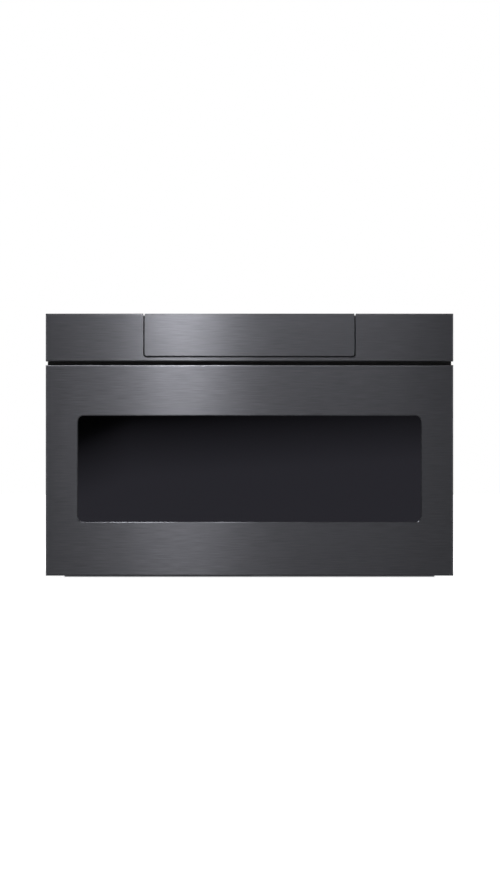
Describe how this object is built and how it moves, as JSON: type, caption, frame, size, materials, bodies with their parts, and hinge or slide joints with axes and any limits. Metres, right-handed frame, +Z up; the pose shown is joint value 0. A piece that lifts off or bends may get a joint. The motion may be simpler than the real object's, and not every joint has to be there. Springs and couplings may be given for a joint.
{
  "type": "built-in microwave drawer",
  "caption": "Built-in microwave oven whose door and tray slide out as a motor-driven drawer, with a tilting control panel in its top band.",
  "frame": {"origin": "middle of the underside of the whole unit, on the surface that it stands on", "axes": "+Z up, the front faces -Y, +X to the right as seen from the front"},
  "size_m": [0.6064, 0.591, 0.392],
  "materials": {
    "black_stainless": "satin",
    "window_glass": "gloss",
    "inner_glass": "gloss",
    "floor_glass": "gloss",
    "frame_enamel": "satin",
    "galvanised_steel": "satin",
    "cavity_enamel": "satin",
    "bracket_steel": "satin",
    "slide_steel": "satin",
    "screw_steel": "gloss",
    "black_plastic": "matte",
    "key_glass": "gloss",
    "tray_resin": "satin",
    "glide_plastic": "matte",
    "gear_plastic": "satin",
    "mica": "matte",
    "blade_aluminium": "satin",
    "fan_plastic": "matte",
    "motor_steel": "satin",
    "core_steel": "matte",
    "circuit_board": "satin",
    "black_rubber": "matte"
  },
  "bodies": {
    "cabinet": {"control_fascia": "black_stainless", "front_frame": "frame_enamel", "base_plate": "galvanised_steel", "side_panel_left": "galvanised_steel", "side_panel_right": "galvanised_steel", "top_cover": "galvanised_steel", "rear_cover": "galvanised_steel", "waveguide": "galvanised_steel", "stirrer_dome": "galvanised_steel", "drive_bracket": "galvanised_steel", "oven_cavity": "cavity_enamel", "cavity_roof": "cavity_enamel", "rail_outer_left": "slide_steel", "rail_outer_right": "slide_steel", "control_housing": "black_plastic", "switch_brackets": "black_plastic", "interlock_switches": "black_plastic", "fan_shroud": "black_plastic", "panel_catch": "black_plastic", "rack_guide": "glide_plastic", "stirrer_cover": "mica", "magnetron": "blade_aluminium", "capacitor": "blade_aluminium", "fan_motor": "motor_steel", "drive_motor": "motor_steel", "stirrer_motor": "motor_steel", "thermal_cutouts": "motor_steel", "oven_lamp": "motor_steel", "transformer": "core_steel", "power_board": "circuit_board", "noise_filter": "circuit_board", "cord_grommet": "black_rubber"},
    "drawer": {"door_skin": "black_stainless", "door_glass": "window_glass", "door_frame": "frame_enamel", "choke_cover": "black_plastic", "inner_window": "inner_glass", "drawer_tray": "tray_resin", "tray_glass": "floor_glass", "tray_glides": "glide_plastic", "door_bracket_left": "bracket_steel", "door_bracket_right": "bracket_steel", "drive_rack": "gear_plastic", "latch_hooks": "glide_plastic", "door_bumpers": "black_rubber", "rail_inner_left": "slide_steel", "rail_inner_right": "slide_steel"},
    "slide_middles": {"rail_middle_left": "slide_steel", "rail_middle_right": "slide_steel"},
    "outer_cages": {"ball_cages_outer": "glide_plastic"},
    "inner_cages": {"ball_cages_inner": "glide_plastic"},
    "pinion": {"drive_pinion": "gear_plastic"},
    "stirrer": {"stirrer_blade": "blade_aluminium"},
    "fan": {"fan_blades": "fan_plastic"},
    "control_panel": {"flap_skin": "black_stainless", "flap_housing": "black_plastic", "key_panel": "key_glass", "control_board": "circuit_board", "hinge_pins": "screw_steel"}
  },
  "joints": [
    {"name": "drawer_slide", "type": "slide", "parent": "cabinet", "child": "drawer", "axis": [0, -1, 0], "range_m": [0, 0.395]},
    {"name": "middle_rail_slide", "type": "slide", "parent": "cabinet", "child": "slide_middles", "axis": [0, -1, 0], "range_m": [0, 0.1976]},
    {"name": "outer_cage_slide", "type": "slide", "parent": "cabinet", "child": "outer_cages", "axis": [0, -1, 0], "range_m": [0, 0.0988]},
    {"name": "inner_cage_slide", "type": "slide", "parent": "cabinet", "child": "inner_cages", "axis": [0, -1, 0], "range_m": [0, 0.2963]},
    {"name": "pinion_spin", "type": "hinge", "parent": "cabinet", "child": "pinion", "pos_m": [0.026, -0.2295, 0.036], "axis": [0, 0, 1], "range_deg": [0, 1258]},
    {"name": "stirrer_spin", "type": "hinge", "parent": "cabinet", "child": "stirrer", "pos_m": [0, -0.0555, 0.276], "axis": [0, 0, 1], "continuous": true},
    {"name": "fan_spin", "type": "hinge", "parent": "cabinet", "child": "fan", "pos_m": [0.0795, 0.2145, 0.24], "axis": [1, 0, 0], "continuous": true},
    {"name": "control_panel_tilt", "type": "hinge", "parent": "cabinet", "child": "control_panel", "pos_m": [0, -0.2915, 0.332], "axis": [1, 0, 0], "range_deg": [0, 45]}
  ],
  "couplings": [
    {"joint": "middle_rail_slide", "follows": "drawer_slide", "ratio": 0.5},
    {"joint": "outer_cage_slide", "follows": "drawer_slide", "ratio": 0.25},
    {"joint": "inner_cage_slide", "follows": "drawer_slide", "ratio": 0.75},
    {"joint": "pinion_spin", "follows": "drawer_slide", "rad_per_m": 55.556}
  ]
}
